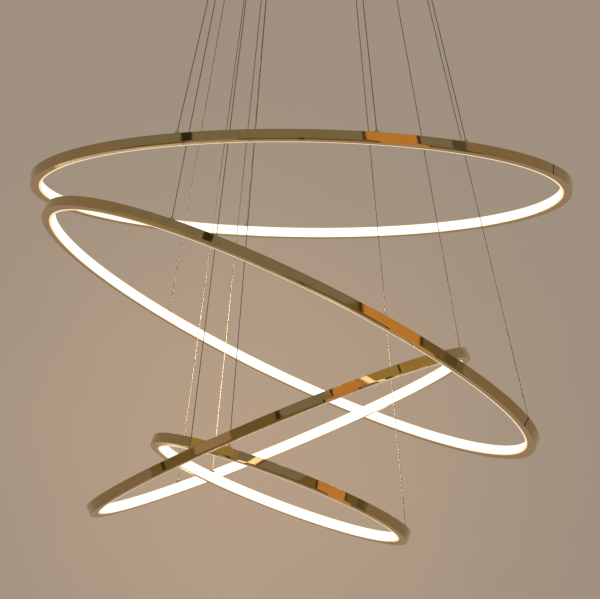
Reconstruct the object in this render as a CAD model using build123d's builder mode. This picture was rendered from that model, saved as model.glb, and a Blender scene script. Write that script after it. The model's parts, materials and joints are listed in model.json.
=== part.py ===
from build123d import *
import os
from dataclasses import dataclass
from math import acos, ceil, cos, pi, radians, sin

os.makedirs("parts", exist_ok=True)

# A chandelier of four lit rings that hang from one round canopy on thin steel wires.
# Millimetres. The origin is on the ceiling, at the middle of the canopy. +Z is up,
# +X is to the right and +Y points away from the viewer.

# ---- ring profile -------------------------------------------------------------
profile_height = 15.0       # metal channel, top face to bottom face
rim_width = 13.0            # width of the channel's top and bottom flanges
channel_wall = 1.2
diffuser_proud = 3.3        # how far the diffuser stands inside the flanges
plug_depth = 3.0            # how far its wedge reaches in between them
plug_slope = 0.42           # the wedge narrows by this much for each mm of depth
strip_thickness = 1.0
strip_height = 10.0
strip_gap = 0.05            # corners of the flat lamp bars to the channel's web
bar_stand_off = 3.0         # how far the middle of a bar may stand off the web

# ---- wire end and its collar on a ring ----------------------------------------
pivot_height = 2.4          # turning point of the wire end above the flange
collar_radius = 3.5
collar_sides = 8
socket_sides = 6
socket_profile = [          # height from the turning point, radius
    (-2.1, 2.45),
    (0.1, 2.45),
    (1.15, 1.95),
]

# ---- suspension wire and its grip ---------------------------------------------
wire_radius = 0.6
wire_sides = 6
end_profile = [             # ball end: distance past the turning point, radius
    (-1.9, wire_radius),
    (-0.6, 1.85),
    (0.6, 1.85),
    (1.6, 0.9),
]
swivel_rise = 2.6           # turning point of a grip above the canopy's underside
grip_sides = 8
grip_profile = [            # ball head, neck and barrel: distance down the wire, radius
    (-3.2, 2.9),
    (0.0, 4.4),
    (3.4, 1.3),
    (6.5, 1.3),
    (8.5, 3.8),
    (22.0, 3.8),
]
barrel_end = grip_profile[-1][0]
guide_radius = 2.8
guide_depth = 10.0
plunger_radius = 2.4
plunger_bore_radius = 1.1
plunger_length = 8.0
plunger_proud = 4.0         # how far it stands out of the barrel
plunger_sides = 6

# ---- canopy -------------------------------------------------------------------
canopy_radius = 150.0
canopy_depth = 45.0
canopy_wall = 1.5
canopy_bevel = 2.0
exit_radius = 128.0         # circle of the wire exits
inner_exit_radius = 90.0    # the one exit that stands further in
exit_hole_radius = 4.3

bracket_length = 200.0
bracket_width = 40.0
bracket_corner = 10.0
bracket_thickness = 2.0
ceiling_slot_spacing = 120.0
ceiling_slot_length = 20.0
ceiling_slot_width = 5.0
cable_hole_radius = 10.0
stud_spacing = 180.0
stud_radius = 2.5
stud_sides = 6
stud_reach = 5.0            # how far a stud goes into its cap nut
cap_nut_radius = 7.0
cap_nut_height = 8.0
cap_nut_crown = 2.0
cap_nut_sides = 12

driver_length = 136.0
driver_width = 38.0
driver_height = 28.0
driver_bevel = 3.0
driver_x = 20.0
driver_y = 58.0
ear_length = 8.0
ear_width = 16.0
ear_thickness = 2.0
ear_slot_width = 4.5
terminal_length = 36.0
terminal_width = 18.0
terminal_height = 15.0
terminal_ways = 3
terminal_port = 5.0
terminal_port_depth = 7.0

floor_top = canopy_wall - canopy_depth


@dataclass
class Ring:
    """One lit ring: where its middle hangs and how it leans."""

    name: str
    diameter: float
    x: float
    z: float
    lean: float     # degrees, right side down
    nod: float      # degrees, far side down

    @property
    def radius(self):
        return self.diameter / 2

    @property
    def plane(self):
        lean, nod = radians(self.lean), radians(self.nod)
        return Plane(
            origin=(self.x, 0, self.z),
            x_dir=(cos(lean), 0, -sin(lean)),
            z_dir=(sin(lean) * cos(nod), -sin(nod), cos(lean) * cos(nod)),
        )

    @property
    def section(self):
        """Plane through the ring's axis: its x runs outwards, its y along the axis."""
        return Plane(self.plane.origin, x_dir=self.plane.x_dir, z_dir=-self.plane.y_dir)

    @property
    def axis(self):
        return Axis(self.plane.origin, self.plane.z_dir)

    def flange_point(self, angle):
        """Middle of the flange at an angle, in the ring's own plane."""
        middle = self.radius - rim_width / 2
        return middle * cos(radians(angle)), middle * sin(radians(angle))

    def revolved(self, *points):
        """Solid of revolution about the ring's axis, from its section's corners."""
        with BuildPart() as turned:
            with BuildSketch(self.section):
                with BuildLine():
                    Polyline(*points, close=True)
                make_face()
            revolve(axis=self.axis)
        return turned


@dataclass
class Wire:
    """One straight wire from its grip in the canopy to its collar on a ring."""

    name: str
    ring: Ring
    ring_angle: float
    exit_angle: float
    exit_circle: float = exit_radius

    @property
    def exit(self):
        """Where the wire's line leaves the canopy, seen from below."""
        angle = radians(self.exit_angle)
        return self.exit_circle * cos(angle), self.exit_circle * sin(angle)

    @property
    def swivel(self):
        """Turning point of the grip."""
        return Vector(*self.exit, swivel_rise - canopy_depth)

    @property
    def pivot(self):
        """Turning point of the wire end in its collar."""
        height = profile_height / 2 + pivot_height
        return self.ring.plane.from_local_coords(
            Vector(*self.ring.flange_point(self.ring_angle), height)
        )

    @property
    def length(self):
        return (self.pivot - self.swivel).length

    def across(self, distance):
        """Plane square to the wire, this far down from the grip's turning point."""
        return Plane(self.swivel, z_dir=self.pivot - self.swivel).offset(distance)


# ---- the rings and the wires that carry them ----------------------------------
ring_1 = Ring("ring_1", diameter=800, x=-27, z=-520, lean=0.8, nod=1.3)
ring_2 = Ring("ring_2", diameter=800, x=-46, z=-734, lean=25.4, nod=-2.2)
ring_3 = Ring("ring_3", diameter=600, x=-59, z=-884.5, lean=-22.6, nod=2.4)
ring_4 = Ring("ring_4", diameter=400, x=-58, z=-967, lean=20.7, nod=-1.6)
rings = [ring_1, ring_2, ring_3, ring_4]

wire_groups = {
    "ring_1_wires": [
        Wire("1_front_left", ring_1, 244.5, -161.0),
        Wire("1_front_middle", ring_1, 285.0, -71.5),
        Wire("1_front_right", ring_1, 305.0, -19.5),
        Wire("1_back", ring_1, 103.0, 137.5, inner_exit_radius),
    ],
    "ring_2_left_wires": [
        Wire("2_front_left", ring_2, 242.0, -154.5),
        Wire("2_back_left", ring_2, 122.0, 153.5),
    ],
    "ring_2_right_wire": [Wire("2_right", ring_2, 2.0, 16.5)],
    "ring_3_left_wires": [
        Wire("3_front_left", ring_3, 243.5, -130.0),
        Wire("3_back_left", ring_3, 123.5, 136.5),
    ],
    "ring_3_right_wire": [Wire("3_right", ring_3, 3.5, 44.5)],
    "ring_4_left_wires": [
        Wire("4_front_left", ring_4, 245.5, -118.5),
        Wire("4_back_left", ring_4, 125.5, 124.5),
    ],
    "ring_4_right_wire": [Wire("4_right", ring_4, 5.5, 70.0)],
}
wires = [wire for group in wire_groups.values() for wire in group]


def save(built, name):
    """Label a finished piece and write it under its own name."""
    built.part.label = name
    export_step(built.part, f"parts/{name}.step")


def turned_solid(base, profile, sides):
    """Many-sided shape about a plane's axis, from (distance, radius) pairs.

    Its outline is extruded across the axis and cut to the same outline at each pair of flats.
    """
    right = [(radius * cos(pi / sides), distance) for distance, radius in profile]
    left = [(-x, distance) for x, distance in reversed(right)]
    widest = max(radius for _, radius in profile)
    with BuildPart() as turned:
        for pair in range(sides // 2):
            angle = (2 * pair + 1) * pi / sides
            outwards = base.x_dir * cos(angle) + base.y_dir * sin(angle)
            across = outwards.cross(base.z_dir)
            with BuildSketch(Plane(base.origin, x_dir=outwards, z_dir=across)):
                with BuildLine():
                    Polyline(*right, *left, close=True)
                make_face()
            extrude(amount=widest, both=True, mode=Mode.INTERSECT if pair else Mode.ADD)
    return turned.part


# ---- one ring's pieces --------------------------------------------------------
def make_channel(ring):
    """Metal channel, open towards the middle of the ring."""
    outside = ring.radius
    web = outside - channel_wall
    lip = outside - rim_width
    half = profile_height / 2
    inside = half - channel_wall
    channel = ring.revolved(
        (outside, -half),
        (outside, half),
        (lip, half),
        (lip, inside),
        (web, inside),
        (web, -inside),
        (lip, -inside),
        (lip, -half),
    )
    save(channel, f"{ring.name}_channel")


def make_diffuser(ring):
    """Opal diffuser: a full-height face, and a wedge that plugs the channel's mouth."""
    lip = ring.radius - rim_width
    half = profile_height / 2
    tip = half - plug_slope * (diffuser_proud + plug_depth)
    diffuser = ring.revolved(
        (lip - diffuser_proud, -half),
        (lip - diffuser_proud, half),
        (lip + plug_depth, tip),
        (lip + plug_depth, -tip),
    )
    save(diffuser, f"{ring.name}_diffuser")


def make_lamp_strip(ring):
    """Lamp strip: flat bars, end to end round the channel's web."""
    corner = ring.radius - channel_wall - strip_gap
    bars = ceil(pi / acos(1 - bar_stand_off / corner))
    inner = corner * cos(pi / bars) - strip_thickness
    with BuildPart() as strip:
        with BuildSketch(ring.plane.offset(-strip_height / 2)):
            RegularPolygon(corner, bars)
            RegularPolygon(inner, bars, major_radius=False, mode=Mode.SUBTRACT)
        extrude(amount=strip_height)
    save(strip, f"{ring.name}_lamp_strip")


def make_collars(ring):
    """Collars on the top flange, with the sockets that the wires' ball ends turn in."""
    carried = [wire for wire in wires if wire.ring is ring]
    collar_height = pivot_height + socket_profile[-1][0]
    with BuildPart() as collars:
        with BuildSketch(ring.plane.offset(profile_height / 2)):
            with Locations(*[ring.flange_point(wire.ring_angle) for wire in carried]):
                RegularPolygon(collar_radius, collar_sides)
        extrude(amount=collar_height)
        for wire in carried:
            socket = Plane(wire.pivot, x_dir=ring.plane.x_dir, z_dir=ring.plane.z_dir)
            add(turned_solid(socket, socket_profile, socket_sides), mode=Mode.SUBTRACT)
    save(collars, f"{ring.name}_wire_collars")


# ---- wires and grips ----------------------------------------------------------
def make_wires(name, group):
    """Straight wires with a ball end on each."""
    with BuildPart() as made:
        for wire in group:
            upper_end = (barrel_end - guide_depth - wire.length, wire_radius)
            profile = [upper_end, *end_profile]
            add(turned_solid(wire.across(wire.length), profile, wire_sides))
    save(made, name)


def make_wire_grips():
    """Grips: a ball head in the canopy's floor, a neck and a barrel with a guide bore."""
    with BuildPart() as grips:
        for wire in wires:
            add(turned_solid(wire.across(0), grip_profile, grip_sides))
            with BuildSketch(wire.across(barrel_end)):
                RegularPolygon(guide_radius, plunger_sides)
            extrude(amount=-guide_depth, mode=Mode.SUBTRACT)
    save(grips, "wire_grips")


def make_release_plunger(wire):
    """Hollow plunger in the barrel's lower end: pressed in, it lets the wire go."""
    with BuildPart() as plunger:
        with BuildSketch(wire.across(barrel_end + plunger_proud)):
            RegularPolygon(plunger_radius, plunger_sides)
            RegularPolygon(plunger_bore_radius, plunger_sides, mode=Mode.SUBTRACT)
        extrude(amount=-plunger_length)
    save(plunger, f"release_plunger_{wire.name}")


# ---- canopy pieces ------------------------------------------------------------
def make_canopy_cup():
    """Round cup whose rim meets the ceiling, with a hole for each grip and stud."""
    inside = canopy_radius - canopy_wall
    with BuildPart() as cup:
        with BuildSketch(Plane.XZ):
            with BuildLine():
                Polyline(
                    (0, -canopy_depth),
                    (canopy_radius - canopy_bevel, -canopy_depth),
                    (canopy_radius, canopy_bevel - canopy_depth),
                    (canopy_radius, 0),
                    (inside, 0),
                    (inside, floor_top),
                    (0, floor_top),
                    close=True,
                )
            make_face()
        revolve(axis=Axis.Z)
        with BuildSketch(Plane.XY.offset(-canopy_depth)):
            with Locations(*[wire.exit for wire in wires]):
                RegularPolygon(exit_hole_radius, grip_sides)
            with GridLocations(stud_spacing, 0, 2, 1):
                RegularPolygon(stud_radius, stud_sides)
        extrude(amount=canopy_wall, mode=Mode.SUBTRACT)
    save(cup, "canopy_cup")


def make_ceiling_bracket():
    """Flat bracket with two screw slots and the supply cable's hole."""
    with BuildPart() as bracket:
        with BuildSketch(Plane.XY.offset(-bracket_thickness)):
            plate = Rectangle(bracket_length, bracket_width)
            chamfer(plate.vertices(), bracket_corner)
            Circle(cable_hole_radius, mode=Mode.SUBTRACT)
            with GridLocations(ceiling_slot_spacing, 0, 2, 1):
                SlotOverall(ceiling_slot_length, ceiling_slot_width, mode=Mode.SUBTRACT)
        extrude(amount=bracket_thickness)
    save(bracket, "ceiling_bracket")


def make_canopy_studs():
    """Threaded studs that hang from the bracket and go through the cup's floor."""
    with BuildPart() as studs:
        with BuildSketch(Plane.XY.offset(-bracket_thickness)):
            with GridLocations(stud_spacing, 0, 2, 1):
                RegularPolygon(stud_radius, stud_sides)
        extrude(amount=bracket_thickness - canopy_depth - stud_reach)
    save(studs, "canopy_studs")


def make_cap_nuts():
    """Cap nuts on the studs' ends, which hold the cup up."""
    profile = [
        (0, cap_nut_radius),
        (cap_nut_height - cap_nut_crown, cap_nut_radius),
        (cap_nut_height, cap_nut_radius - cap_nut_crown),
    ]
    with BuildPart() as nuts:
        for x in (-stud_spacing / 2, stud_spacing / 2):
            downwards = Plane((x, 0, -canopy_depth), z_dir=(0, 0, -1))
            add(turned_solid(downwards, profile, cap_nut_sides))
        with BuildSketch(Plane.XY.offset(-canopy_depth)):
            with GridLocations(stud_spacing, 0, 2, 1):
                RegularPolygon(stud_radius, stud_sides)
        extrude(amount=-stud_reach, mode=Mode.SUBTRACT)
    save(nuts, "canopy_cap_nuts")


def make_driver(name, y):
    """Lamp driver: a moulded case with an open screw slot in the ear at each end."""
    with BuildPart() as driver:
        with BuildSketch(Plane.XY.offset(floor_top)):
            with Locations((driver_x, y)):
                Rectangle(driver_length, driver_width)
        extrude(amount=driver_height)
        chamfer(driver.faces().sort_by(Axis.Z)[-1].edges(), driver_bevel)
        with BuildSketch(Plane.XY.offset(floor_top)):
            with Locations((driver_x, y)):
                Rectangle(driver_length + 2 * ear_length, ear_width)
                with GridLocations(driver_length + 2 * ear_length, 0, 2, 1):
                    Rectangle(ear_length, ear_slot_width, mode=Mode.SUBTRACT)
        extrude(amount=ear_thickness)
    save(driver, name)


def make_terminal_block():
    """Mains terminal block on the canopy's floor, under the cable hole."""
    with BuildPart() as block:
        with BuildSketch(Plane.XY.offset(floor_top)):
            Rectangle(terminal_length, terminal_width)
        extrude(amount=terminal_height)
        with BuildSketch(Plane.XY.offset(floor_top + terminal_height)):
            with GridLocations(terminal_length / terminal_ways, 0, terminal_ways, 1):
                Rectangle(terminal_port, terminal_port)
        extrude(amount=-terminal_port_depth, mode=Mode.SUBTRACT)
    save(block, "mains_terminal_block")


make_ceiling_bracket()
make_canopy_cup()
make_canopy_studs()
make_cap_nuts()
make_driver("driver_front", -driver_y)
make_driver("driver_back", driver_y)
make_terminal_block()
make_wire_grips()
for wire in wires:
    make_release_plunger(wire)
for group_name, group in wire_groups.items():
    make_wires(group_name, group)
for ring in rings:
    make_channel(ring)
    make_diffuser(ring)
    make_lamp_strip(ring)
    make_collars(ring)
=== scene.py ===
"""Visible pieces, finishes and studio for a chandelier of four tilted light rings."""

import json
from math import asin, atan2, ceil, cos, pi, radians, sin, sqrt, tau

import bmesh
import bpy
from bpy.props import FloatProperty, FloatVectorProperty, IntProperty, PointerProperty
from mathutils import Matrix, Vector

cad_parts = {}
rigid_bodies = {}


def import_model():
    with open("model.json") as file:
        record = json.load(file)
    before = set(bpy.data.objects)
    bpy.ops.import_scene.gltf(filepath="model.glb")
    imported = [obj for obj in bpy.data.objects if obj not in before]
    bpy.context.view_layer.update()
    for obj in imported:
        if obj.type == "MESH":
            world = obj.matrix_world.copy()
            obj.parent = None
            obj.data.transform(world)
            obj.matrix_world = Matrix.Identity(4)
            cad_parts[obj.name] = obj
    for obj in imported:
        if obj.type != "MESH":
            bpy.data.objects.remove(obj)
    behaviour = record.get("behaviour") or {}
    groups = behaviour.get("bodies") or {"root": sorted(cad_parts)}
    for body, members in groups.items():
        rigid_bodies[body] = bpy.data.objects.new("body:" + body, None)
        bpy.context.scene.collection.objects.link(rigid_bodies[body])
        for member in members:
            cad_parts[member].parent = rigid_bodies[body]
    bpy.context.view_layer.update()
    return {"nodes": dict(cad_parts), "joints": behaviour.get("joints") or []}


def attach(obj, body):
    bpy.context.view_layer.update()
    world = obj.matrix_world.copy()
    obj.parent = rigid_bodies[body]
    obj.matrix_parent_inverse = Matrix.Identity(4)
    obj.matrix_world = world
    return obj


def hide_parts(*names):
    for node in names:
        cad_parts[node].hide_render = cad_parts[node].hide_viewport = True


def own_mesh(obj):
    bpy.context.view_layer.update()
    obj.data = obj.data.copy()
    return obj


bl_info = {
    "name": "Light ring chandelier",
    "version": (1, 0, 0),
    "blender": (4, 5, 0),
    "location": "View3D > Sidebar > Chandelier",
    "description": "Builds the visible pieces of a chandelier of light rings, and its studio",
    "category": "Object",
}

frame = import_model()

# Each ring: radius and place of its middle in metres, its lean and nod in degrees, and the
# angle at which the two ends of its bent channel meet.
RINGS = {
    "ring_1": (0.4, (-0.027, 0, -0.52), 0.8, 1.3, 333.9),
    "ring_2": (0.4, (-0.046, 0, -0.734), 25.4, -2.2, 337.7),
    "ring_3": (0.3, (-0.059, 0, -0.8845), -22.6, 2.4, 20.0),
    "ring_4": (0.2, (-0.058, 0, -0.967), 20.7, -1.6, 20.0),
}

# Each wire: its ring, its angle on the ring, and the angle and radius at which it leaves the
# canopy.
WIRES = {
    "1_front_left": ("ring_1", 244.5, -161.0, 0.128),
    "1_front_middle": ("ring_1", 285.0, -71.5, 0.128),
    "1_front_right": ("ring_1", 305.0, -19.5, 0.128),
    "1_back": ("ring_1", 103.0, 137.5, 0.090),
    "2_front_left": ("ring_2", 242.0, -154.5, 0.128),
    "2_back_left": ("ring_2", 122.0, 153.5, 0.128),
    "2_right": ("ring_2", 2.0, 16.5, 0.128),
    "3_front_left": ("ring_3", 243.5, -130.0, 0.128),
    "3_back_left": ("ring_3", 123.5, 136.5, 0.128),
    "3_right": ("ring_3", 3.5, 44.5, 0.128),
    "4_front_left": ("ring_4", 245.5, -118.5, 0.128),
    "4_back_left": ("ring_4", 125.5, 124.5, 0.128),
    "4_right": ("ring_4", 5.5, 70.0, 0.128),
}

# The frame's wire nodes, the wires in each, and the joint whose slack their grips take up.
WIRE_NODES = {
    "ring_1_wires": ("1_front_left 1_front_middle 1_front_right 1_back", "ring_1_lift"),
    "ring_2_left_wires": ("2_front_left 2_back_left", None),
    "ring_2_right_wire": ("2_right", "ring_2_tilt"),
    "ring_3_left_wires": ("3_front_left 3_back_left", "ring_3_tilt"),
    "ring_3_right_wire": ("3_right", None),
    "ring_4_left_wires": ("4_front_left 4_back_left", None),
    "ring_4_right_wire": ("4_right", "ring_4_tilt"),
}

# Where the two studs stand along the bracket.
STUDS = (-0.09, 0.09)

# Angles in degrees above which an edge shows sharp: on most pieces, on the knurled fittings,
# on the channels and on the strands.
SHARP, SHARP_KNURLS, SHARP_CHANNEL, SHARP_STRANDS = 35, 25, 8, 80

# Slope above which a face of a channel counts as part of a flange.
FLANGE_SLOPE = 0.9


# ---- sizes and colours a user may change ----
def setting(kind, **limits):
    def declare(name, description, default):
        return kind(name=name, description=description, default=default, **limits)

    return declare


size = setting(FloatProperty, min=0.0, precision=5, subtype="DISTANCE", unit="LENGTH")
distance = setting(FloatProperty, subtype="DISTANCE", unit="LENGTH")
tilt = setting(FloatProperty, subtype="ANGLE", unit="ROTATION")
share = setting(FloatProperty, min=0.0, max=1.0, subtype="FACTOR")
level = setting(FloatProperty, min=0.0)
focal = setting(FloatProperty, min=1.0)
count = setting(IntProperty, min=3)
point = setting(FloatVectorProperty, size=3, subtype="TRANSLATION", unit="LENGTH")
colour = setting(FloatVectorProperty, size=3, min=0.0, max=1.0, subtype="COLOR")


class RingSettings(bpy.types.PropertyGroup):
    """Channel, diffuser and lamp strip of every ring."""

    height: size("Height", "Height of the channel", 0.015)
    rim: size("Rim", "Width of the channel's top and bottom flanges", 0.013)
    wall: size("Wall", "Thickness of the channel's metal", 0.0012)
    corner: size("Corner", "Rounding of the channel's outer corners", 0.0005)
    taper: size("Taper", "How far the outer wall draws in at its lower edge", 0.0004)
    taper_height: size("Taper height", "Height of that part of the outer wall", 0.0028)
    joint_gap: size("Joint gap", "Gap where the channel's ends meet", 0.0048)
    seal_inset: size("Seal inset", "How far the seal in that gap lies below the metal", 0.00015)
    proud: size("Diffuser stand", "How far the diffuser stands inside the rims", 0.0033)
    plug: size("Diffuser plug", "How far the diffuser reaches in between the rims", 0.003)
    steps: count("Steps", "Facets round a ring", 480)
    chip_spacing: size("Lamp spacing", "Distance from lamp to lamp on a strip", 0.0083)
    metal: colour("Metal", "Colour of the polished channels", (0.78, 0.57, 0.28))
    metal_roughness: share("Metal roughness", "Roughness of the polished channels", 0.035)
    flange_roughness: share("Flange roughness", "Roughness of the channels' flanges", 0.16)
    glow_middle: colour("Glow", "Light from the middle of a diffuser", (1.0, 0.95, 0.84))
    glow_edge: colour("Glow at the edge", "Light from a diffuser's edges", (0.55, 0.38, 0.14))
    glow_strength: level("Glow strength", "Brightness of the diffusers", 1.03)


class WireSettings(bpy.types.PropertyGroup):
    """Wires, their collars on the rings and their grips in the canopy."""

    radius: size("Radius", "Radius of a wire over its strands", 0.0006)
    strands: count("Strands", "Strands that show round a wire", 6)
    lay: size("Lay", "Length in which the strands go once round the wire", 0.0135)
    ball: size("Ball end", "Radius of the ball on a wire's end", 0.00185)
    collar: size("Collar", "Radius of a collar on a ring", 0.00335)
    head: size("Grip head", "Radius of a grip's ball head", 0.0042)
    barrel: size("Barrel", "Radius of a grip's barrel", 0.00375)
    mouth: size("Mouth", "Where a wire comes out of its grip, down from the head", 0.0235)
    steel: colour("Steel", "Colour of the wires", (0.30, 0.26, 0.21))
    fitting: colour("Fitting", "Colour of collars, grips and plungers", (0.50, 0.39, 0.23))


class CanopySettings(bpy.types.PropertyGroup):
    """Canopy cup and what is inside it."""

    radius: size("Radius", "Radius of the cup", 0.150)
    depth: size("Depth", "Depth of the cup", 0.045)
    wall: size("Wall", "Thickness of the cup's sheet", 0.0015)
    edge: size("Edge", "Rounding of the cup's lower edge", 0.002)
    exit_hole: size("Exit hole", "Radius of the hole for a grip's head", 0.0041)
    thread: size("Thread", "Radius of a stud over its thread", 0.00245)
    steps: count("Steps", "Facets round the cup", 256)
    sheet: colour("Sheet", "Colour of the cup", (0.78, 0.57, 0.28))
    plated: colour("Plated steel", "Colour of bracket and studs", (0.62, 0.63, 0.64))
    case: colour("Case", "Colour of the drivers' cases", (0.86, 0.86, 0.84))
    block: colour("Block", "Colour of the terminal block", (0.80, 0.78, 0.70))


class StudioSettings(bpy.types.PropertyGroup):
    """Camera, lamps, floor and surround."""

    eye: point("Eye", "Where the camera stands", (-0.029, -4.3, -1.4216))
    pitch: tilt("Pitch", "How far the camera looks up", radians(9.703))
    lens: focal("Lens", "Focal length on a 36 mm sensor", 177.996)
    wall: colour("Surround", "Colour of the wall round the object", (0.35, 0.28, 0.215))
    floor: colour("Floor", "Colour of the floor", (0.66, 0.60, 0.52))
    floor_height: distance("Floor height", "Height of the floor under the ceiling", -2.4)
    floor_radius: size("Floor radius", "Where the floor has faded into the surround", 3.0)
    ambient: level("Ambient", "Level of the light from all round", 0.55)


# ---- places ----
def ring_place(name):
    """Where a ring hangs: its own x is towards its right side, its z along its axis."""
    lean, nod = radians(RINGS[name][2]), radians(RINGS[name][3])
    x = Vector((cos(lean), 0, -sin(lean)))
    z = Vector((sin(lean) * cos(nod), -sin(nod), cos(lean) * cos(nod)))
    place = Matrix((x, z.cross(x), z)).transposed().to_4x4()
    place.translation = RINGS[name][1]
    return place


def wire_seat(name, above_flange=0.0):
    """Where a wire meets its ring, seen from the ring's middle."""
    settings = bpy.context.scene.chandelier_rings
    ring_name, angle = WIRES[name][0], radians(WIRES[name][1])
    middle = RINGS[ring_name][0] - settings.rim / 2
    return Vector((middle * cos(angle), middle * sin(angle), settings.height / 2 + above_flange))


def wire_end(name, above_flange=0.0024):
    """Turning point of a wire's ball end in its collar."""
    return ring_place(WIRES[name][0]) @ wire_seat(name, above_flange)


def wire_start(name, above_underside=0.0026):
    """Turning point of a wire's grip in the canopy's floor."""
    angle, circle = radians(WIRES[name][2]), WIRES[name][3]
    depth = bpy.context.scene.chandelier_canopy.depth
    return Vector((circle * cos(angle), circle * sin(angle), above_underside - depth))


def down_the_wire(name):
    """Place whose z runs down the wire from its grip's turning point."""
    start = wire_start(name)
    direction = (wire_end(name) - start).normalized()
    place = direction.to_track_quat("Z", "Y").to_matrix().to_4x4()
    place.translation = start
    return place


# ---- shapes ----
def arc(radius, first, last, steps, centre=(0, 0)):
    """Points of an outline on an arc between two angles, of which 0 points outwards."""
    angles = [first + (last - first) * step / steps for step in range(steps + 1)]
    return [(centre[0] + radius * cos(a), centre[1] + radius * sin(a)) for a in angles]


def spin(bm, geom, angle, steps, rise=0.0, **options):
    """Spin part of a mesh about z."""
    line = {"cent": (0, 0, 0), "axis": (0, 0, 1), "dvec": (0, 0, rise)}
    bmesh.ops.spin(bm, geom=geom, angle=angle, steps=steps, **line, **options)


def bevel(bm, geom, offset, segments, affect):
    """Round off edges, or the corners of an outline."""
    kind = {"affect": affect, "offset_type": "OFFSET", "profile": 0.5, "material": -1}
    bmesh.ops.bevel(bm, geom=geom, offset=offset, segments=segments, **kind)


def cap_ends(bm):
    """Close the two open ends of a mesh."""
    open_edges = [edge for edge in bm.edges if edge.is_boundary]
    bmesh.ops.holes_fill(bm, edges=open_edges, sides=0)


def turned(outline, steps, corner=0.0, angle=tau, start=0.0):
    """Mesh of an outline of (radius, height) points turned about z."""
    bm = bmesh.new()
    verts = [bm.verts.new((r * cos(start), r * sin(start), z)) for r, z in outline]
    section = bm.faces.new(verts)
    if corner:
        bevel(bm, verts, corner, 3, "VERTICES")
        section = bm.faces[:][0]
    bmesh.ops.delete(bm, geom=[section], context="FACES_ONLY")
    full = angle > tau - 1e-6
    spin(bm, bm.verts[:] + bm.edges[:], angle, steps, use_merge=full)
    bmesh.ops.remove_doubles(bm, verts=bm.verts, dist=1e-7)
    slivers = [edge for edge in bm.edges if not edge.link_faces]
    bmesh.ops.delete(bm, geom=slivers, context="EDGES")
    if not full:
        cap_ends(bm)
    bmesh.ops.recalc_face_normals(bm, faces=bm.faces)
    return bm


def knurl(bm, facets, low, high, inside, depth):
    """Draw in every other column of a turned mesh's outer facets, between two heights."""
    for vert in bm.verts:
        column = round(atan2(vert.co.y, vert.co.x) / tau * facets)
        if low < vert.co.z < high and vert.co.xy.length > inside and column % 2:
            vert.co.xy *= depth


def wrap_uv(bm, radius):
    """UV map in metres: round the ring, and across its section."""
    layer = bm.loops.layers.uv.verify()
    for face in bm.faces:
        middle = face.calc_center_median()
        facing = atan2(middle.y, middle.x)
        for loop in face.loops:
            co = loop.vert.co
            turn = (atan2(co.y, co.x) - facing + pi) % tau - pi
            across = co.z + sqrt(co.x * co.x + co.y * co.y)
            loop[layer].uv = ((facing + turn) * radius, across)


def block(bm, x, y, half_x, half_y, low, high, corner=0.0, segments=2):
    """Box about an upright line, with its edges rounded, added to a mesh."""
    made = bmesh.ops.create_cube(bm, size=1.0)["verts"]
    bmesh.ops.scale(bm, vec=(2 * half_x, 2 * half_y, high - low), verts=made)
    bmesh.ops.translate(bm, vec=(x, y, (low + high) / 2), verts=made)
    if corner:
        edges = [edge for edge in bm.edges if edge.verts[0] in made]
        bevel(bm, edges, corner, segments, "EDGES")


def as_mesh(bm, name):
    mesh = bpy.data.meshes.new(name)
    bm.to_mesh(mesh)
    bm.free()
    return mesh


def merged(parts):
    """One mesh of several, each with its place."""
    whole = bmesh.new()
    for part, place in parts:
        part.transform(place)
        mesh = as_mesh(part, "part")
        whole.from_mesh(mesh)
        bpy.data.meshes.remove(mesh)
    return whole


def new_object(name, data):
    item = bpy.data.objects.new(name, data)
    bpy.context.collection.objects.link(item)
    return item


def add_piece(bm, name, material, body, nodes=(), sharp=SHARP):
    """Object of a finished mesh, that rides on a body and stands for its nodes."""
    mesh = as_mesh(bm, name)
    piece = new_object(name, mesh)
    mesh.materials.append(material)
    mesh.shade_smooth()
    mesh.set_sharp_from_angle(angle=radians(sharp))
    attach(piece, body)
    if nodes:
        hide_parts(*nodes)
    return piece


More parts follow.
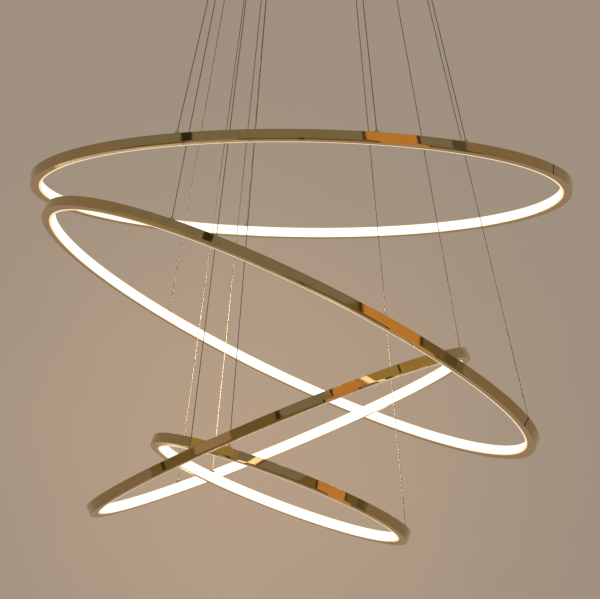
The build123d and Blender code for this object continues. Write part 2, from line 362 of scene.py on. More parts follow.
# ---- finishes ----
class NodeKit:
    """Short ways to add and link the nodes of a material or a world."""

    def __init__(self, tree):
        self.tree = tree

    def feed(self, node, inputs):
        """Link outputs to a node's inputs, or give these plain values."""
        for key, value in inputs.items():
            socket = node.inputs[key]
            if isinstance(value, bpy.types.NodeSocket):
                self.tree.links.new(value, socket)
            else:
                socket.default_value = value

    def add(self, kind, inputs=None, **values):
        """A node, with its properties set and its inputs fed."""
        node = self.tree.nodes.new(kind)
        for key, value in values.items():
            setattr(node, key, value)
        self.feed(node, inputs or {})
        return node

    def math(self, operation, *inputs):
        inputs = dict(enumerate(inputs))
        return self.add("ShaderNodeMath", inputs, operation=operation).outputs[0]

    def coordinates(self, source="Object", scale=(1, 1, 1)):
        inputs = {"Vector": self.add("ShaderNodeTexCoord").outputs[source], "Scale": scale}
        return self.add("ShaderNodeMapping", inputs).outputs["Vector"]

    def parts(self, vector):
        """The X, Y and Z of a vector."""
        return self.add("ShaderNodeSeparateXYZ", {0: vector}).outputs

    def length(self, vector):
        node = self.add("ShaderNodeVectorMath", {0: vector}, operation="LENGTH")
        return node.outputs["Value"]

    def noise(self, vector, scale, detail=3.0, roughness=0.55):
        inputs = {"Vector": vector, "Scale": scale, "Detail": detail, "Roughness": roughness}
        return self.add("ShaderNodeTexNoise", inputs).outputs["Fac"]

    def ramp(self, value, stops):
        """Colour between two stops, each a position on a value and a tint."""
        ramp = self.add("ShaderNodeValToRGB", {"Fac": value})
        for element, (position, tint) in zip(ramp.color_ramp.elements, stops, strict=True):
            element.position = position
            element.color = (*tint, 1.0)
        return ramp.outputs["Color"]

    def mix(self, share_of_second, first, second):
        """First colour, with a plain second one laid over it."""
        inputs = {"Factor": share_of_second, 6: first, 7: (*second, 1.0)}
        return self.add("ShaderNodeMix", inputs, data_type="RGBA").outputs[2]

    def mix_shaders(self, share_of_second, first, second):
        inputs = {0: share_of_second, 1: first.outputs[0], 2: second.outputs[0]}
        return self.add("ShaderNodeMixShader", inputs)

    def between(self, value, low, high, steps="LINEAR"):
        """How far a value has gone from one number to another, from 0 to 1."""
        inputs = {"Value": value, "From Min": low, "From Max": high}
        node = self.add("ShaderNodeMapRange", inputs, interpolation_type=steps)
        return node.outputs["Result"]


class Finish(NodeKit):
    """A new material, whose nodes feed its shader."""

    def __init__(self, name):
        self.material = bpy.data.materials.new(name)
        self.material.use_nodes = True
        super().__init__(self.material.node_tree)
        self.shader = self.tree.nodes["Principled BSDF"]

    def set(self, **values):
        """Feed the shader's inputs."""
        self.feed(self.shader, {key.replace("_", " "): value for key, value in values.items()})

    def shades(self, value, tint, *stops):
        """Base colour in shades of a tint, each at its position on a value."""
        shades = [(position, scaled(tint, factor)) for position, factor in stops]
        self.set(Base_Color=self.ramp(value, shades))

    def rough(self, value, low, high):
        """Roughness between two numbers, as a value goes from 0 to 1."""
        inputs = {"Value": value, "To Min": low, "To Max": high}
        self.set(Roughness=self.add("ShaderNodeMapRange", inputs).outputs["Result"])

    def bump(self, height, distance, strength=1.0):
        inputs = {"Height": height, "Distance": distance, "Strength": strength}
        self.set(Normal=self.add("ShaderNodeBump", inputs).outputs["Normal"])


def scaled(tint, factor):
    return tuple(min(1.0, channel * factor) for channel in tint)


def gold_finish(name, tint, roughness, source, scale):
    """Polished gold plate with fine drawn lines, faint haze and tiny marks."""
    finish = Finish(name)
    lines = finish.noise(finish.coordinates(source, scale), 1.0, 4.0, 0.6)
    haze = finish.noise(finish.coordinates(), 55.0)
    finish.shades(haze, tint, (0.3, 0.94), (0.7, 1.03))
    finish.rough(haze, roughness * 0.7, roughness * 1.5)
    finish.set(Metallic=1.0)
    finish.bump(lines, 0.00001, 0.35)
    return finish.material


def glow_finish(settings):
    """Opal plastic, lit from behind: whitest along its middle, warmer at its edges."""
    finish = Finish("opal_glow")
    place = finish.add("ShaderNodeAttribute", attribute_name="glow")
    grain = finish.noise(finish.coordinates(), 900.0, 2.0)
    grained = finish.math("MULTIPLY_ADD", grain, 0.04, place.outputs["Fac"])
    glow = finish.ramp(grained, [(0.25, settings.glow_edge), (0.8, settings.glow_middle)])
    finish.set(Emission_Color=glow, Emission_Strength=settings.glow_strength)
    finish.set(Base_Color=(0.60, 0.55, 0.45, 1.0), Roughness=0.45)
    finish.bump(grain, 0.00003, 0.3)
    return finish.material


def strip_finish():
    """White flexible board with pale lands."""
    finish = Finish("lamp_board")
    lands = finish.noise(finish.coordinates("UV", (120.0, 300.0, 1.0)), 1.0, 0.0)
    white, copper = (0.86, 0.85, 0.80), (0.72, 0.50, 0.26)
    finish.set(Base_Color=finish.ramp(lands, [(0.55, white), (0.6, copper)]), Roughness=0.5)
    finish.bump(lands, 0.00002)
    return finish.material


def chip_finish():
    """Yellow phosphor of a lamp chip."""
    finish = Finish("lamp_chip")
    grain = finish.noise(finish.coordinates(), 1500.0, 2.0)
    tone = finish.ramp(grain, [(0.3, (0.85, 0.62, 0.12)), (0.7, (0.95, 0.76, 0.22))])
    finish.set(Base_Color=tone, Emission_Color=tone, Emission_Strength=0.6, Roughness=0.4)
    return finish.material


def wire_finish(tint):
    """Bare stranded steel with a little dirt on it."""
    finish = Finish("stranded_steel")
    dirt = finish.noise(finish.coordinates(), 420.0)
    finish.shades(dirt, tint, (0.3, 0.8), (0.75, 1.15))
    finish.rough(dirt, 0.50, 0.64)
    finish.set(Metallic=1.0)
    finish.bump(finish.noise(finish.coordinates(), 3000.0, 2.0), 0.00001, 0.5)
    return finish.material


def plated_finish(tint):
    """Zinc-plated steel with its blotchy spangle and fine scratches."""
    finish = Finish("zinc_plate")
    inputs = {"Vector": finish.coordinates(), "Scale": 140.0}
    spangle = finish.add("ShaderNodeTexVoronoi", inputs)
    finish.shades(spangle.outputs["Distance"], tint, (0.1, 1.08), (0.8, 0.86))
    scratches = finish.noise(finish.coordinates(scale=(40, 900, 900)), 1.0, 4.0)
    finish.rough(scratches, 0.28, 0.5)
    finish.set(Metallic=1.0)
    finish.bump(scratches, 0.00002, 0.5)
    return finish.material


def moulded_finish(name, tint, grain_scale):
    """Moulded plastic with a fine sparked grain."""
    finish = Finish(name)
    grain = finish.noise(finish.coordinates(), grain_scale, 2.0)
    cloud = finish.noise(finish.coordinates(), 30.0)
    finish.shades(cloud, tint, (0.3, 0.96), (0.7, 1.02))
    finish.rough(grain, 0.4, 0.58)
    finish.bump(grain, 0.00006, 0.6)
    return finish.material


def spun_finish(tint):
    """Spun gold sheet: fine rings about the cup's middle."""
    finish = Finish("gold_sheet")
    from_axis = finish.length(finish.coordinates(scale=(1, 1, 0)))
    height = finish.parts(finish.coordinates())["Z"]
    ring = finish.add("ShaderNodeCombineXYZ", {"X": from_axis, "Z": height})
    lines = finish.noise(ring.outputs[0], 2600.0, 3.0, 0.7)
    haze = finish.noise(finish.coordinates(), 14.0)
    finish.shades(haze, tint, (0.3, 0.95), (0.7, 1.03))
    finish.rough(lines, 0.14, 0.3)
    finish.set(Metallic=1.0)
    finish.bump(lines, 0.00001, 0.5)
    return finish.material


def fitting_finish():
    tint = tuple(bpy.context.scene.chandelier_wires.fitting)
    found = bpy.data.materials.get("gold_fitting")
    return found or gold_finish("gold_fitting", tint, 0.16, "Object", (900, 900, 900))


def zinc_finish():
    tint = tuple(bpy.context.scene.chandelier_canopy.plated)
    return bpy.data.materials.get("zinc_plate") or plated_finish(tint)


def add_fitting(bm, name, body, node, sharp=SHARP):
    """Piece with the finish of the gold fittings, that stands for one node."""
    add_piece(bm, name, fitting_finish(), body, [node], sharp)


# ---- operators ----
class CHANDELIER_OT_channels(bpy.types.Operator):
    """Bend the polished metal channel of every ring"""

    bl_idname = "chandelier.channels"
    bl_label = "Ring channels"

    def execute(self, context):
        settings = context.scene.chandelier_rings
        tint, lines = tuple(settings.metal), (9, 5200, 1)
        metal = gold_finish("gold_channel", tint, settings.metal_roughness, "UV", lines)
        satin = gold_finish("gold_flange", tint, settings.flange_roughness, "UV", lines)
        # The seal that fills each joint's gap is near black: its black is painted shade of the
        # gap.
        gap_shade = moulded_finish("joint_seal", (0.02, 0.02, 0.02), 1500.0)
        for name, (radius, *_, joint) in RINGS.items():
            gap, start = settings.joint_gap / radius, radians(joint)
            outline = self.section(settings, radius)
            channel = turned(outline, settings.steps, settings.corner, tau - gap, start)
            wrap_uv(channel, radius)
            nodes = [f"{name}_channel"]
            self.hang(channel, f"{name}_gold_channel", metal, satin, name, nodes, SHARP_CHANNEL)
            outline = self.section(settings, radius, settings.seal_inset)
            # Seal in the joint's gap, whose near-black finish paints the gap's shade.
            seal = turned(outline, 1, angle=gap, start=start - gap)
            self.hang(seal, f"{name}_joint_seal", gap_shade, satin, name)
        return {"FINISHED"}

    def section(self, settings, radius, inset=0.0):
        """Outline of the channel, open inwards, or of what lies an inset below its surfaces."""
        half, wall = settings.height / 2 - inset, settings.wall - 2 * inset
        outside, lip = radius - inset, radius - settings.rim + inset
        web, inner = outside - wall, half - wall
        outer = [(outside - settings.taper, -half), (outside, settings.taper_height - half)]
        outer += [(outside, half), (lip, half)]
        return outer + [(lip, inner), (web, inner), (web, -inner), (lip, -inner), (lip, -half)]

    def hang(self, bm, name, material, flange_material, ring, nodes=(), sharp=SHARP):
        """Hang a channel or a seal in its ring's place, with another finish on its flanges."""
        for face in bm.faces:
            if abs(face.normal.z) > FLANGE_SLOPE:
                face.material_index = 1
        bm.transform(ring_place(ring))
        piece = add_piece(bm, name, material, ring, nodes, sharp)
        piece.data.materials.append(flange_material)


class CHANDELIER_OT_diffusers(bpy.types.Operator):
    """Fit the lit opal diffuser into the mouth of every channel"""

    bl_idname = "chandelier.diffusers"
    bl_label = "Diffusers"

    def execute(self, context):
        settings = context.scene.chandelier_rings
        opal = glow_finish(settings)
        narrowing, glow_of_sides = 0.42, 0.37
        half = settings.height / 2
        tip = half - narrowing * (settings.proud + settings.plug)
        for name, (ring_radius, *_) in RINGS.items():
            lip = ring_radius - settings.rim
            face, back = lip - settings.proud, lip + settings.plug
            edge = face + 0.0004
            outline = [(edge, -half), (face, 0.0005 - half), (face, 0.0018 - half), (face, 0)]
            outline += [(face, half - 0.0018), (face, half - 0.0005), (edge, half)]
            outline += [(back, tip), (back, -tip)]
            bm = turned(outline, settings.steps)
            glow = bm.verts.layers.float.new("glow")
            for vert in bm.verts:
                radius, height = vert.co.xy.length, abs(vert.co.z)
                on_face = radius < face + 0.0002
                vert[glow] = 1 - (height / half) ** 5 if on_face else glow_of_sides
            wrap_uv(bm, face)
            bm.transform(ring_place(name))
            add_piece(bm, f"{name}_opal_band", opal, name, [f"{name}_diffuser"])
        return {"FINISHED"}


class CHANDELIER_OT_lamp_strips(bpy.types.Operator):
    """Lay the lamp strip, board and chips, on the web of every channel"""

    bl_idname = "chandelier.lamp_strips"
    bl_label = "Lamp strips"

    def execute(self, context):
        settings = context.scene.chandelier_rings
        board_finish, phosphor = strip_finish(), chip_finish()
        # The board's back is near black: painted shade, so the channel's joint gap shows dark.
        tape_painted_shade = moulded_finish("mounting_tape_painted_shade", (0.02, 0.02, 0.02), 1200.0)
        clearance, thickness, half = 0.0002, 0.0004, 0.005
        for name, (radius, *_) in RINGS.items():
            back = radius - settings.wall - clearance
            front = back - thickness
            outline = [(back, -half), (back, half), (front, half), (front, -half)]
            board = turned(outline, settings.steps // 2)
            wrap_uv(board, front)
            # Faces on the board's back take the second finish, its painted shade.
            for face in board.faces:
                if min(vert.co.xy.length for vert in face.verts) > back - 1e-5:
                    face.material_index = 1
            board.transform(ring_place(name))
            nodes = [f"{name}_lamp_strip"]
            piece = add_piece(board, f"{name}_lamp_board", board_finish, name, nodes)
            piece.data.materials.append(tape_painted_shade)
            self.chips(name, front, ceil(tau * front / settings.chip_spacing), phosphor)
        return {"FINISHED"}

    def chips(self, name, front, number, phosphor):
        """Set the lamp chips on the front of a ring's board."""
        bm = bmesh.new()
        half_depth, half_length, half_width = 0.0004, 0.00175, 0.0014
        middle = front - half_depth
        block(bm, middle, 0, half_depth, half_length, -half_width, half_width, 0.0002, 1)
        spin(bm, bm.verts[:] + bm.edges[:] + bm.faces[:], tau, number, use_duplicate=True)
        bmesh.ops.remove_doubles(bm, verts=bm.verts, dist=1e-6)
        bm.transform(ring_place(name))
        add_piece(bm, f"{name}_lamp_chips", phosphor, name)


class CHANDELIER_OT_collars(bpy.types.Operator):
    """Turn the collars that hold the wires' ball ends on the rings"""

    bl_idname = "chandelier.collars"
    bl_label = "Wire collars"

    def execute(self, context):
        r = context.scene.chandelier_wires.collar
        socket, floor, top = 0.0021, 0.0003, 0.00355
        outline = [(0, 0), (r, 0), (r, 0.0007), (r - 0.0003, 0.0010), (r, 0.0013), (r, 0.0029)]
        outline += [(r - 0.0006, top), (0.0024, top), (0.00205, 0.0031), (socket, 0.0025)]
        outline += [(socket, floor), (0, floor)]
        for ring in RINGS:
            parts = []
            for name, wire in WIRES.items():
                if wire[0] == ring:
                    place = ring_place(ring) @ Matrix.Translation(wire_seat(name))
                    parts.append((turned(outline, 40), place))
            add_fitting(merged(parts), f"{ring}_collars", ring, f"{ring}_wire_collars")
        return {"FINISHED"}


class CHANDELIER_OT_wires(bpy.types.Operator):
    """Run the stranded wires from their grips to their ball ends"""

    bl_idname = "chandelier.wires"
    bl_label = "Suspension wires"

    def execute(self, context):
        settings = context.scene.chandelier_wires
        steel = wire_finish(tuple(settings.steel))
        ball = settings.ball
        neck, neck_top = settings.radius + 0.0002, -0.0034
        outline = [(0, neck_top), (neck - 0.0001, neck_top), (neck, neck_top + 0.0002)]
        outline += arc(ball, asin(neck / ball) - pi / 2, pi / 2, 8)
        outline[-1] = (0, ball)
        for node, (names, joint) in WIRE_NODES.items():
            for name in names.split():
                place = down_the_wire(name)
                length = (wire_end(name) - wire_start(name)).length
                strands = self.strands(length - ball / 2, settings)
                end_place = place @ Matrix.Translation((0, 0, length))
                wire = merged([(strands, place), (turned(outline, 24), end_place)])
                piece = add_piece(
                    wire, f"wire_{name}", steel, "canopy", [node], SHARP_STRANDS
                )
                if joint:
                    self.take_up(piece, name, joint, place @ Vector((0, 0, settings.mouth)))
        return {"FINISHED"}

    def strands(self, end, settings):
        """Twisted strands from a grip's mouth down to the ball end, about z."""
        groove, steps_in_a_lay = 0.91, 9
        bm, corners, radius = bmesh.new(), 2 * settings.strands, settings.radius
        made = bmesh.ops.create_circle(bm, cap_ends=False, segments=corners, radius=radius)
        for vert in made["verts"][::2]:
            vert.co *= groove
        bmesh.ops.translate(bm, vec=(0, 0, settings.mouth), verts=made["verts"])
        reach = end - settings.mouth
        steps = ceil(reach / settings.lay * steps_in_a_lay)
        twist = reach / settings.lay * tau
        spin(bm, bm.verts[:] + bm.edges[:], twist, steps, rise=reach / steps)
        cap_ends(bm)
        bmesh.ops.recalc_face_normals(bm, faces=bm.faces)
        return bm

    def take_up(self, piece, name, joint_name, mouth):
        """Look up the joint whose slack the grip above a wire takes in, and give the wire a mesh
        of its own.
        """
        joint = next(j for j in frame["joints"] if j["name"] == joint_name)
        end, axis = wire_end(name), Vector(joint["axis"])
        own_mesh(piece)


class CHANDELIER_OT_grips(bpy.types.Operator):
    """Turn the wire grips, with ball head, neck and knurled barrel"""

    bl_idname = "chandelier.grips"
    bl_label = "Wire grips"

    def execute(self, context):
        settings = context.scene.chandelier_wires
        head, barrel = settings.head, settings.barrel
        top, neck, bore, bore_top, facets = -0.0032, 0.0013, 0.0027, 0.0120, 48
        groove = barrel - 0.0003
        outline = [(0, top), *arc(head, asin(top / head), pi / 2 - asin(neck / head), 12)]
        outline += [(neck, 0.0066), (barrel - 0.0009, 0.0074), (barrel, 0.0083), (barrel, 0.0100)]
        outline += [(groove, 0.0103), (groove, 0.0106), (barrel, 0.0109), (barrel, 0.0186)]
        outline += [(groove, 0.0189), (groove, 0.0192), (barrel, 0.0195), (barrel, 0.0215)]
        outline += [(barrel - 0.0005, 0.0220), (bore + 0.0001, 0.0220), (bore, 0.0218)]
        outline += [(bore, bore_top), (0, bore_top)]
        parts = []
        for name in WIRES:
            grip = turned(outline, facets)
            knurl(grip, facets, 0.0108, 0.0187, barrel - 0.0001, 0.955)
            parts.append((grip, down_the_wire(name)))
        add_fitting(merged(parts), "grip_barrels", "canopy", "wire_grips", SHARP_KNURLS)
        return {"FINISHED"}


class CHANDELIER_OT_plungers(bpy.types.Operator):
    """Turn the hollow release plungers in the grips' lower ends"""

    bl_idname = "chandelier.plungers"
    bl_label = "Release plungers"

    def execute(self, context):
        bore, sleeve, groove, top, foot = 0.0011, 0.0023, 0.0021, 0.0180, 0.0260
        outline = [(bore, top), (sleeve, top), (sleeve, 0.0248), (groove, 0.0250)]
        outline += [(groove, 0.0252), (sleeve, 0.0254), (sleeve, 0.0257)]
        outline += [(0.0020, foot), (0.0014, foot), (bore, 0.0256)]
        for name in WIRES:
            bm, body = turned(outline, 32), f"plunger_{name}"
            bm.transform(down_the_wire(name))
            add_fitting(bm, f"{body}_sleeve", body, f"release_{body}")
        return {"FINISHED"}


class CHANDELIER_OT_canopy_cup(bpy.types.Operator):
    """Draw the canopy cup and punch its wire exits and stud holes"""

    bl_idname = "chandelier.canopy_cup"
    bl_label = "Canopy cup"

    def execute(self, context):
        settings = context.scene.chandelier_canopy
        radius, depth, wall, edge = settings.radius, settings.depth, settings.wall, settings.edge
        inside, floor, lip, fillet = radius - wall, wall - depth, 0.0003, 0.0008
        outline = [(0, -depth), *arc(edge, -pi / 2, 0, 6, (radius - edge, edge - depth))]
        outline += [(radius, -lip), (radius - lip, 0), (inside, 0), (inside, floor + fillet)]
        outline += [(inside - fillet, floor), (0, floor)]
        bm, gold = turned(outline, settings.steps), spun_finish(tuple(settings.sheet))
        cup = add_piece(bm, "canopy_gold_cup", gold, "canopy", ["canopy_cup"])
        punch = bmesh.new()
        holes = [(*wire_start(name).xy, settings.exit_hole) for name in WIRES]
        holes += [(x, 0, settings.thread + 0.0001) for x in STUDS]
        for x, y, hole in holes:
            place = Matrix.Translation((x, y, -depth + wall / 2))
            shape = {"segments": 40, "radius1": hole, "radius2": hole, "depth": 4 * wall}
            bmesh.ops.create_cone(punch, cap_ends=True, matrix=place, **shape)
        self.cut(cup, punch)
        cup.data.set_sharp_from_angle(angle=radians(SHARP))
        return {"FINISHED"}

    def cut(self, piece, punch):
        """Take the punch's shapes out of a piece's own mesh."""
        cutter = new_object("punch", as_mesh(punch, "punch"))
        boolean = piece.modifiers.new("holes", "BOOLEAN")
        boolean.operation, boolean.solver, boolean.object = "DIFFERENCE", "EXACT", cutter
        graph = bpy.context.evaluated_depsgraph_get()
        result = bpy.data.meshes.new_from_object(piece.evaluated_get(graph))
        piece.modifiers.remove(boolean)
        uncut, punch_mesh = piece.data, cutter.data
        piece.data = result
        result.name = piece.name
        bpy.data.objects.remove(cutter)
        for mesh in (punch_mesh, uncut):
            bpy.data.meshes.remove(mesh)


class CHANDELIER_OT_canopy_fixings(bpy.types.Operator):
    """Finish the ceiling bracket, thread its studs and turn the cap nuts"""

    bl_idname = "chandelier.canopy_fixings"
    bl_label = "Bracket, studs and cap nuts"

    def execute(self, context):
        settings = context.scene.chandelier_canopy
        bracket = frame["nodes"]["ceiling_bracket"]
        bracket.data.materials.clear()
        bracket.data.materials.append(zinc_finish())
        outline = self.stud(settings.thread)
        studs = merged([(turned(outline, 24), Matrix.Translation((x, 0, 0))) for x in STUDS])
        add_piece(studs, "threaded_studs", zinc_finish(), "canopy", ["canopy_studs"])
        outline, facets, parts = self.cap_nut(settings.thread + 0.0001), 60, []
        for x in STUDS:
            nut = turned(outline, facets)
            knurl(nut, facets, -0.0049, -0.0004, 0.0060, 0.965)
            parts.append((nut, Matrix.Translation((x, 0, -settings.depth))))
        add_fitting(merged(parts), "cap_nuts", "canopy", "canopy_cap_nuts", SHARP_KNURLS)
        return {"FINISHED"}

    def stud(self, crest):
        """Outline of a threaded stud."""
        pitch, low, high = 0.0008, -0.050, -0.002
        outline = [(0, high), (crest - 0.0004, high)]
        for turn in range(round((high - low) / pitch)):
            height = high - (turn + 0.5) * pitch
            outline += [(crest, height + pitch * 0.15), (crest, height - pitch * 0.05)]
            outline += [(crest - 0.00035, height - pitch * 0.45)]
        return outline + [(crest - 0.0006, low), (0, low)]

    def cap_nut(self, hole):
        """Outline of a domed cap nut, down from the canopy's underside."""
        rim = 0.0068
        outer = [(hole, 0), (0.0062, 0), (rim, -0.0005), (rim, -0.0048), (0.0065, -0.0056)]
        dome = [(0.0057, -0.0066), (0.0043, -0.0074), (0.0025, -0.0079), (0, -0.008)]
        return outer + dome + [(0, -0.0056), (hole, -0.0052)]


class CHANDELIER_OT_electrics(bpy.types.Operator):
    """Mould the two drivers and the terminal block inside the canopy"""

    bl_idname = "chandelier.electrics"
    bl_label = "Drivers and terminal block"

    terminals = (-0.012, 0, 0.012)

    def execute(self, context):
        settings = context.scene.chandelier_canopy
        floor = settings.wall - settings.depth
        case = moulded_finish("driver_case", tuple(settings.case), 2400.0)
        for node, y in (("driver_front", -0.058), ("driver_back", 0.058)):
            bm = self.driver(0.020, y, floor)
            add_piece(bm, f"{node}_case", case, "canopy", [node])
        plastic = moulded_finish("terminal_plastic", tuple(settings.block), 1800.0)
        bm, nodes = self.terminal_block(floor), ["mains_terminal_block"]
        add_piece(bm, "terminal_block_body", plastic, "canopy", nodes)
        screws = self.terminal_screws(floor + 0.0078)
        add_piece(screws, "terminal_screws", zinc_finish(), "canopy")
        return {"FINISHED"}

    def driver(self, x, y, floor):
        """Case with a lid, a parting line, ribbed ends and slotted ears."""
        bm = bmesh.new()
        half_length, half_width, groove, top = 0.068, 0.019, 0.0006, floor + 0.028
        ear, rib = floor + 0.002, 0.0006
        block(bm, x, y, half_length, half_width, floor, floor + 0.0215, 0.0012)
        inner = half_length - groove, half_width - groove
        block(bm, x, y, *inner, floor + 0.0208, floor + 0.0225)
        block(bm, x, y, half_length, half_width, floor + 0.0222, top, 0.0024, 3)
        for side in (-1, 1):
            for step in range(6):
                rib_x = x + side * (0.036 + step * 0.0035)
                block(bm, rib_x, y, rib, 0.014, top - 0.0005, top, 0.0002, 1)
            for prong_y in (y - 0.005125, y + 0.005125):
                block(bm, x + side * 0.07175, prong_y, 0.00425, 0.002875, floor, ear, 0.0004)
            block(bm, x + side * 0.06825, y, 0.00075, 0.0025, floor, ear)
        return bm

    def terminal_block(self, floor):
        """Three joined housings, each with a square port in its upper half."""
        bm = bmesh.new()
        port_floor, top, half_width = floor + 0.008, floor + 0.015, 0.0085
        for x in self.terminals:
            block(bm, x, 0, 0.0058, 0.009, floor, port_floor + 0.0002, 0.0006)
            for wall_x in (x - 0.0041, x + 0.0041):
                block(bm, wall_x, 0, 0.0015, half_width, port_floor, top, 0.0004, 1)
            for wall_y in (-0.00555, 0.00555):
                block(bm, x, wall_y, 0.0028, 0.00295, port_floor, top, 0.0004, 1)
        for x in (-0.006, 0.006):
            block(bm, x, 0, 0.0006, 0.007, floor, floor + 0.006)
        return bm

    def terminal_screws(self, base):
        """Slotted clamp screws at the bottoms of the three ports."""
        parts = []
        radius, top = 0.0021, 0.0014
        outline = [(0, 0), (radius, 0), (radius, 0.0010), (0.0018, top), (0, top)]
        for x in self.terminals:
            screw = turned(outline, 24)
            block(screw, 0, 0, 0.0019, 0.0003, 0.0013, 0.0017, 0.0001, 1)
            parts.append((screw, Matrix.Translation((x, 0, base))))
        return merged(parts)


# ---- stage ----
# The room that the polished metal mirrors. It has a grey wall in front of the rings, warm
# walls at the sides and behind them, and light on the wall right behind the rings.
GREY_WALL = (0.22, 0.21, 0.18)
WARM_WALL = (0.25, 0.20, 0.15)
LIT_WALL = (0.34, 0.26, 0.19)
BLACK = (0.03, 0.03, 0.02)
SHADE = (0.10, 0.09, 0.07)
BROWN = (0.17, 0.13, 0.06)
AMBER = (0.60, 0.30, 0.08)
GOLD = (0.36, 0.27, 0.10)

# What stands before its walls: tone, direction and half the width in degrees, height above
# eye level and half its own height, and degrees that it leans sideways for each degree up.
FURNISHINGS = {
    "low_cupboards": (BROWN, 270, 80, -19, 21, 0),
    "cupboard_front": (LIT_WALL, 233, 11, -9, 9, 0),
    "left_post": (BLACK, 200, 1.2, -16, 5, 0),
    "middle_post": (BLACK, 270, 1.2, -1, 5, 0),
    "left_cornice": (GOLD, 205, 28, 24, 5, 0),
    "right_cornice": (GOLD, 340, 50, 24, 11, 0),
    "doorway": (BLACK, 222, 2.5, 10, 6, 0),
    "upper_doorway": (BLACK, 234, 2.5, 32, 5, 0),
    "curtain_frame": (BLACK, 311, 12.5, -11, 22, -0.4),
    "curtain": (AMBER, 311, 11, -11, 22, -0.4),
    "upper_curtain_frame": (BLACK, 309, 10, 20, 7, 0),
    "upper_curtain": (AMBER, 309.5, 9, 20, 7, 0),
    "recess": (SHADE, 340, 3.5, 0, 16, -0.2),
    "cornice_joint": (BLACK, 346, 0.8, 24, 8, 0),
}

# The soft studio lamps: where each hangs, its width and its power.
LAMPS = {
    "key_lamp": ((-2.2, -2.6, 1.2), 2.4, 95.0),
    "fill_lamp": ((2.8, -1.8, 0.4), 2.6, 45.0),
    "low_lamp": ((0.3, -2.2, -2.2), 1.6, 14.0),
}
STUDIO_WHITE = (1.0, 0.97, 0.93)
MIDDLE_OF_RINGS = Vector((-0.04, 0, -0.72))

# How much lighter the surround is where the rings shine on it, and in which direction.
WARMTH = (1.35, 1.23, 1.12)
WARMEST = (-0.02, 0.993, 0.115)


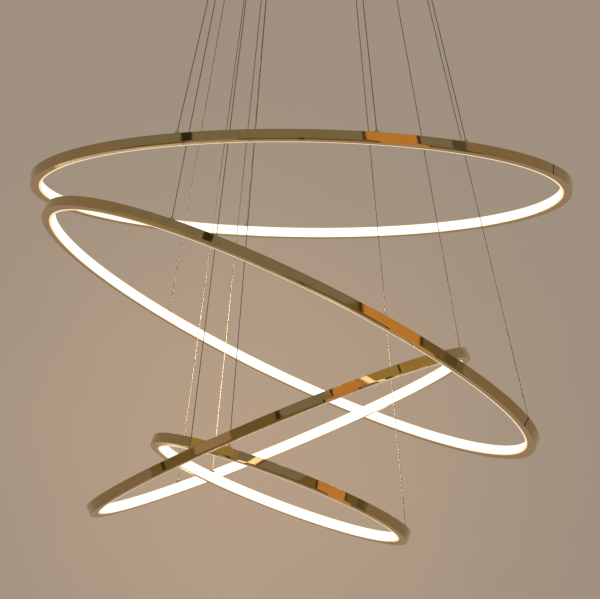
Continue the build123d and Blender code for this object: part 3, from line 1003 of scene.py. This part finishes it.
class CHANDELIER_OT_studio(bpy.types.Operator):
    """Set up the pale floor, the surround, the soft lamps and the camera"""

    bl_idname = "chandelier.studio"
    bl_label = "Studio"

    def execute(self, context):
        settings = context.scene.chandelier_studio
        context.scene.view_settings.view_transform = "Standard"
        self.camera(context.scene, settings)
        self.floor(settings)
        self.surround(context.scene, settings)
        for name, (place, width, power) in LAMPS.items():
            lamp = self.lamp(name, place, width, width, power, STUDIO_WHITE)
            aim = MIDDLE_OF_RINGS - Vector(place)
            lamp.rotation_euler = aim.to_track_quat("-Z", "Y").to_euler()
            lamp.visible_glossy = False
        self.glow_lamp()
        return {"FINISHED"}

    def camera(self, scene, settings):
        data = bpy.data.cameras.new("camera")
        data.sensor_width, data.lens, data.clip_end = 36.0, settings.lens, 100.0
        camera = new_object("camera", data)
        camera.location = settings.eye
        camera.rotation_euler = (pi / 2 + settings.pitch, 0, 0)
        scene.camera = camera

    def lamp(self, name, place, width, height, power, tint):
        """Soft lamp that doesn't show itself to the camera."""
        data = bpy.data.lights.new(name, "AREA")
        data.shape = "RECTANGLE"
        data.size, data.size_y = width, height
        data.energy = power
        data.color = tint
        lamp = new_object(name, data)
        lamp.location = place
        lamp.visible_camera = False
        return lamp

    def glow_lamp(self):
        """Lamp amid the lower rings that gives the wires behind it, alone, the rings' glow."""
        place, tint = (-0.10, -0.06, -0.80), (1.0, 0.80, 0.54)
        lamp = self.lamp("glow_lamp", place, 0.20, 0.30, 5.5, tint)
        lamp.rotation_euler = (pi / 2, 0, 0)
        lit = bpy.data.collections.new("wires_in_the_glow")
        for piece in bpy.data.objects:
            if piece.name.startswith("wire_"):
                lit.objects.link(piece)
        lamp.light_linking.receiver_collection = lit

    def floor(self, settings):
        """Round pale floor whose rim fades into the surround, clear from below."""
        reach = settings.floor_radius
        bm = bmesh.new()
        bmesh.ops.create_circle(bm, cap_ends=True, segments=96, radius=reach)
        mesh = as_mesh(bm, "floor")
        floor = new_object("floor", mesh)
        floor.location = (0, 0, settings.floor_height)
        finish = Finish("floor_paint")
        vector = finish.coordinates()
        speckle = finish.noise(vector, 9.0, 4.0)
        finish.shades(speckle, tuple(settings.floor), (0.3, 0.97), (0.7, 1.02))
        finish.set(Roughness=0.7)
        fade = finish.between(finish.length(vector), reach * 0.35, reach * 0.98, "SMOOTHSTEP")
        back = finish.add("ShaderNodeNewGeometry").outputs["Backfacing"]
        clear = finish.math("MAXIMUM", fade, back)
        see_through = finish.add("ShaderNodeBsdfTransparent")
        mixed = finish.mix_shaders(clear, finish.shader, see_through)
        finish.feed(finish.tree.nodes["Material Output"], {"Surface": mixed.outputs[0]})
        mesh.materials.append(finish.material)

    def surround(self, scene, settings):
        """Plain wall to the eye, plain light on the object, and a room for the mirrors."""
        world = bpy.data.worlds.new("surround")
        world.use_nodes = True
        scene.world = world
        nodes = NodeKit(world.node_tree)
        nodes.tree.nodes.clear()
        direction = nodes.add("ShaderNodeTexCoord").outputs["Generated"]
        tint = tuple(settings.wall)
        warm = tuple(channel * factor for channel, factor in zip(tint, WARMTH))
        shown = nodes.ramp(self.wall_light(nodes, direction), [(0.0, tint), (1.0, warm)])
        wall = nodes.add("ShaderNodeBackground", {"Color": shown})
        inputs = {"Color": (*STUDIO_WHITE, 1.0), "Strength": settings.ambient}
        light = nodes.add("ShaderNodeBackground", inputs)
        room = self.room(nodes, nodes.parts(direction))
        mirrored = nodes.add("ShaderNodeBackground", {"Color": room})
        ray = nodes.add("ShaderNodeLightPath").outputs
        cast = nodes.mix_shaders(ray["Is Glossy Ray"], light, mirrored)
        seen = nodes.mix_shaders(ray["Is Camera Ray"], cast, wall)
        nodes.add("ShaderNodeOutputWorld", {"Surface": seen.outputs[0]})

    def room(self, nodes, direction):
        """Colour of the mirrored room in a direction: walls, then what stands before them."""
        height = nodes.math("ARCSINE", direction["Z"])
        angle = nodes.math("ARCTAN2", direction["Y"], direction["X"])
        in_front = nodes.math("LESS_THAN", direction["Y"], -0.08)
        leftwards = nodes.math("LESS_THAN", direction["X"], 0.94)
        facing = nodes.math("MULTIPLY", in_front, leftwards)
        tone = nodes.ramp(facing, [(0, WARM_WALL), (1, GREY_WALL)])
        behind = nodes.between(direction["Y"], 0.80, 0.97, "SMOOTHSTEP")
        tone = nodes.mix(behind, tone, LIT_WALL)
        for shade, middle, half_width, level, half_height, lean in FURNISHINGS.values():
            upright = nodes.math("MULTIPLY_ADD", height, -lean, angle)
            across = nodes.math("COMPARE", upright, radians(middle - 360), radians(half_width))
            along = nodes.math("COMPARE", height, radians(level), radians(half_height))
            tone = nodes.mix(nodes.math("MULTIPLY", across, along), tone, shade)
        return nodes.mix(nodes.between(direction["Z"], 0.64, 0.80), tone, SHADE)

    def wall_light(self, nodes, direction):
        """Warm light that the rings throw on the wall behind them."""
        inputs = {0: direction, 1: WARMEST}
        towards = nodes.add("ShaderNodeVectorMath", inputs, operation="DISTANCE")
        cloud = nodes.noise(direction, 16.0)
        reach = nodes.math("MULTIPLY_ADD", cloud, 0.04, towards.outputs["Value"])
        return nodes.between(reach, 0.16, 0.02, "SMOOTHSTEP")


# ---- panel and registration ----
OPERATORS = (
    CHANDELIER_OT_channels,
    CHANDELIER_OT_diffusers,
    CHANDELIER_OT_lamp_strips,
    CHANDELIER_OT_collars,
    CHANDELIER_OT_wires,
    CHANDELIER_OT_grips,
    CHANDELIER_OT_plungers,
    CHANDELIER_OT_canopy_cup,
    CHANDELIER_OT_canopy_fixings,
    CHANDELIER_OT_electrics,
    CHANDELIER_OT_studio,
)

SETTINGS = {
    "chandelier_rings": RingSettings,
    "chandelier_wires": WireSettings,
    "chandelier_canopy": CanopySettings,
    "chandelier_studio": StudioSettings,
}


class CHANDELIER_PT_panel(bpy.types.Panel):
    """Settings and operators of the chandelier"""

    bl_idname = "CHANDELIER_PT_panel"
    bl_label = "Light ring chandelier"
    bl_space_type = "VIEW_3D"
    bl_region_type = "UI"
    bl_category = "Chandelier"

    def draw(self, context):
        for operator in OPERATORS:
            self.layout.operator(operator.bl_idname)
        for name in SETTINGS:
            settings = getattr(context.scene, name)
            box = self.layout.box()
            for key in settings.__annotations__:
                box.prop(settings, key)


CLASSES = (*SETTINGS.values(), *OPERATORS, CHANDELIER_PT_panel)


def register():
    for group in CLASSES:
        bpy.utils.register_class(group)
    for name, group in SETTINGS.items():
        setattr(bpy.types.Scene, name, PointerProperty(type=group))


def unregister():
    for name in SETTINGS:
        delattr(bpy.types.Scene, name)
    for group in reversed(CLASSES):
        bpy.utils.unregister_class(group)


def main():
    register()
    bpy.ops.chandelier.channels()
    bpy.ops.chandelier.diffusers()
    bpy.ops.chandelier.lamp_strips()
    bpy.ops.chandelier.collars()
    bpy.ops.chandelier.wires()
    bpy.ops.chandelier.grips()
    bpy.ops.chandelier.plungers()
    bpy.ops.chandelier.canopy_cup()
    bpy.ops.chandelier.canopy_fixings()
    bpy.ops.chandelier.electrics()
    bpy.ops.chandelier.studio()


if __name__ == "__main__":
    main()
